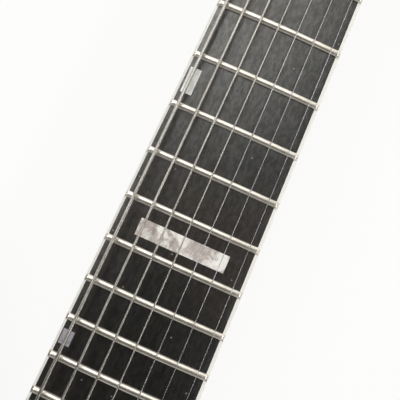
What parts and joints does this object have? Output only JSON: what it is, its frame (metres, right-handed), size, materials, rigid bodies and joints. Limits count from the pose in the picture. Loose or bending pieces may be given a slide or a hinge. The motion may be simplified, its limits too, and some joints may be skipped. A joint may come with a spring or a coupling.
{
  "type": "seven-string electric guitar",
  "caption": "Solid-body electric guitar with a long cambered fretboard, block inlay, bar bridge with sliding saddles, stop tailpiece, geared tuners, two pickups and turning controls.",
  "frame": {"origin": "on the flat back of the body, on the centreline under the scale line at the bridge", "axes": "+Y up the neck to the headstock, +Z out of the front of the body, +X to the treble side"},
  "size_m": [0.3255, 0.9405, 0.0625],
  "materials": {
    "black_lacquer": "gloss black lacquer",
    "neck_maple": "satin oiled maple",
    "ebony_and_frets": "oiled ebony, nickel-silver frets",
    "ivory_binding": "polished",
    "mother_of_pearl": "polished shell",
    "bone": "polished bone",
    "rod_steel": "plain",
    "black_plastic": "satin",
    "pickup_plastic": "satin moulded",
    "nickel_plate": "polished",
    "saddle_brass": "nickel plated",
    "string_steel": "wound and plain wire",
    "black_chrome": "black chrome",
    "pot_steel": "zinc plated"
  },
  "bodies": {
    "guitar": {"body": "black_lacquer", "neck": "neck_maple", "fretboard": "ebony_and_frets", "fretboard_binding": "ivory_binding", "block_inlay": "mother_of_pearl", "nut": "bone", "truss_rod": "rod_steel", "truss_rod_cover": "black_plastic", "bridge_bar": "nickel_plate", "bridge_post_bass": "nickel_plate", "bridge_post_treble": "nickel_plate", "stop_tailpiece": "nickel_plate", "string_1": "string_steel", "tuner_housing_1": "black_chrome", "string_2": "string_steel", "tuner_housing_2": "black_chrome", "string_3": "string_steel", "tuner_housing_3": "black_chrome", "string_4": "string_steel", "tuner_housing_4": "black_chrome", "string_5": "string_steel", "tuner_housing_5": "black_chrome", "string_6": "string_steel", "tuner_housing_6": "black_chrome", "string_7": "string_steel", "tuner_housing_7": "black_chrome", "volume_pot": "pot_steel", "tone_pot": "pot_steel", "pickup_switch": "nickel_plate", "output_jack": "nickel_plate", "control_cover": "black_plastic", "strap_button_upper": "nickel_plate", "strap_button_lower": "nickel_plate"},
    "tuner_button_1": {"tuner_button_1": "black_chrome"},
    "tuner_post_1": {"tuner_post_1": "nickel_plate"},
    "tuner_button_2": {"tuner_button_2": "black_chrome"},
    "tuner_post_2": {"tuner_post_2": "nickel_plate"},
    "tuner_button_3": {"tuner_button_3": "black_chrome"},
    "tuner_post_3": {"tuner_post_3": "nickel_plate"},
    "tuner_button_4": {"tuner_button_4": "black_chrome"},
    "tuner_post_4": {"tuner_post_4": "nickel_plate"},
    "tuner_button_5": {"tuner_button_5": "black_chrome"},
    "tuner_post_5": {"tuner_post_5": "nickel_plate"},
    "tuner_button_6": {"tuner_button_6": "black_chrome"},
    "tuner_post_6": {"tuner_post_6": "nickel_plate"},
    "tuner_button_7": {"tuner_button_7": "black_chrome"},
    "tuner_post_7": {"tuner_post_7": "nickel_plate"},
    "volume_knob": {"volume_knob": "black_chrome"},
    "tone_knob": {"tone_knob": "black_chrome"},
    "switch_lever": {"switch_lever": "black_plastic"},
    "saddle_1": {"saddle_1": "saddle_brass"},
    "saddle_2": {"saddle_2": "saddle_brass"},
    "saddle_3": {"saddle_3": "saddle_brass"},
    "saddle_4": {"saddle_4": "saddle_brass"},
    "saddle_5": {"saddle_5": "saddle_brass"},
    "saddle_6": {"saddle_6": "saddle_brass"},
    "saddle_7": {"saddle_7": "saddle_brass"},
    "neck_pickup": {"neck_pickup": "pickup_plastic"},
    "bridge_pickup": {"bridge_pickup": "pickup_plastic"}
  },
  "joints": [
    {"name": "tuner_button_1_turn", "type": "hinge", "parent": "guitar", "child": "tuner_button_1", "pos_m": [0.027, 0.6923, 0.02148], "axis": [1, 0, 0], "continuous": true},
    {"name": "tuner_post_1_turn", "type": "hinge", "parent": "guitar", "child": "tuner_post_1", "pos_m": [0.027, 0.68774, 0.04174], "axis": [0, 0.1219, 0.9925], "continuous": true},
    {"name": "tuner_button_2_turn", "type": "hinge", "parent": "guitar", "child": "tuner_button_2", "pos_m": [0.026, 0.7201, 0.01807], "axis": [1, 0, 0], "continuous": true},
    {"name": "tuner_post_2_turn", "type": "hinge", "parent": "guitar", "child": "tuner_post_2", "pos_m": [0.026, 0.71553, 0.03832], "axis": [0, 0.1219, 0.9925], "continuous": true},
    {"name": "tuner_button_3_turn", "type": "hinge", "parent": "guitar", "child": "tuner_button_3", "pos_m": [0.025, 0.74789, 0.01465], "axis": [1, 0, 0], "continuous": true},
    {"name": "tuner_post_3_turn", "type": "hinge", "parent": "guitar", "child": "tuner_post_3", "pos_m": [0.025, 0.74332, 0.03491], "axis": [0, 0.1219, 0.9925], "continuous": true},
    {"name": "tuner_button_4_turn", "type": "hinge", "parent": "guitar", "child": "tuner_button_4", "pos_m": [-0.024, 0.76178, 0.01295], "axis": [-1, 0, 0], "continuous": true},
    {"name": "tuner_post_4_turn", "type": "hinge", "parent": "guitar", "child": "tuner_post_4", "pos_m": [-0.024, 0.77111, 0.0315], "axis": [0, 0.1219, 0.9925], "continuous": true},
    {"name": "tuner_button_5_turn", "type": "hinge", "parent": "guitar", "child": "tuner_button_5", "pos_m": [-0.025, 0.73399, 0.01636], "axis": [-1, 0, 0], "continuous": true},
    {"name": "tuner_post_5_turn", "type": "hinge", "parent": "guitar", "child": "tuner_post_5", "pos_m": [-0.025, 0.74332, 0.03491], "axis": [0, 0.1219, 0.9925], "continuous": true},
    {"name": "tuner_button_6_turn", "type": "hinge", "parent": "guitar", "child": "tuner_button_6", "pos_m": [-0.026, 0.7062, 0.01977], "axis": [-1, 0, 0], "continuous": true},
    {"name": "tuner_post_6_turn", "type": "hinge", "parent": "guitar", "child": "tuner_post_6", "pos_m": [-0.026, 0.71553, 0.03832], "axis": [0, 0.1219, 0.9925], "continuous": true},
    {"name": "tuner_button_7_turn", "type": "hinge", "parent": "guitar", "child": "tuner_button_7", "pos_m": [-0.027, 0.67841, 0.02318], "axis": [-1, 0, 0], "continuous": true},
    {"name": "tuner_post_7_turn", "type": "hinge", "parent": "guitar", "child": "tuner_post_7", "pos_m": [-0.027, 0.68774, 0.04174], "axis": [0, 0.1219, 0.9925], "continuous": true},
    {"name": "volume_turn", "type": "hinge", "parent": "guitar", "child": "volume_knob", "pos_m": [0.088, -0.03, 0.0445], "axis": [0, 0, 1], "range_deg": [-150, 150]},
    {"name": "tone_turn", "type": "hinge", "parent": "guitar", "child": "tone_knob", "pos_m": [0.11, -0.064, 0.0445], "axis": [0, 0, 1], "range_deg": [-150, 150]},
    {"name": "switch_tilt", "type": "hinge", "parent": "guitar", "child": "switch_lever", "pos_m": [0.116, 0.013, 0.0415], "axis": [1, 0, 0], "range_deg": [-12, 12]},
    {"name": "saddle_1_slide", "type": "slide", "parent": "guitar", "child": "saddle_1", "axis": [0, 1, 0], "range_m": [-0.0034, 0.0004]},
    {"name": "saddle_2_slide", "type": "slide", "parent": "guitar", "child": "saddle_2", "axis": [0, 1, 0], "range_m": [-0.003, 0.0008]},
    {"name": "saddle_3_slide", "type": "slide", "parent": "guitar", "child": "saddle_3", "axis": [0, 1, 0], "range_m": [-0.002, 0.0018]},
    {"name": "saddle_4_slide", "type": "slide", "parent": "guitar", "child": "saddle_4", "axis": [0, 1, 0], "range_m": [-0.0026, 0.0012]},
    {"name": "saddle_5_slide", "type": "slide", "parent": "guitar", "child": "saddle_5", "axis": [0, 1, 0], "range_m": [-0.002, 0.0018]},
    {"name": "saddle_6_slide", "type": "slide", "parent": "guitar", "child": "saddle_6", "axis": [0, 1, 0], "range_m": [-0.0013, 0.0025]},
    {"name": "saddle_7_slide", "type": "slide", "parent": "guitar", "child": "saddle_7", "axis": [0, 1, 0], "range_m": [-0.0005, 0.0033]},
    {"name": "neck_pickup_height", "type": "slide", "parent": "guitar", "child": "neck_pickup", "axis": [0, 0, 1], "range_m": [-0.003, 0.001]},
    {"name": "bridge_pickup_height", "type": "slide", "parent": "guitar", "child": "bridge_pickup", "axis": [0, 0, 1], "range_m": [-0.003, 0.001]}
  ],
  "couplings": [
    {"joint": "tuner_post_1_turn", "follows": "tuner_button_1_turn", "ratio": 0.055556},
    {"joint": "tuner_post_2_turn", "follows": "tuner_button_2_turn", "ratio": 0.055556},
    {"joint": "tuner_post_3_turn", "follows": "tuner_button_3_turn", "ratio": 0.055556},
    {"joint": "tuner_post_4_turn", "follows": "tuner_button_4_turn", "ratio": 0.055556},
    {"joint": "tuner_post_5_turn", "follows": "tuner_button_5_turn", "ratio": 0.055556},
    {"joint": "tuner_post_6_turn", "follows": "tuner_button_6_turn", "ratio": 0.055556},
    {"joint": "tuner_post_7_turn", "follows": "tuner_button_7_turn", "ratio": 0.055556}
  ]
}
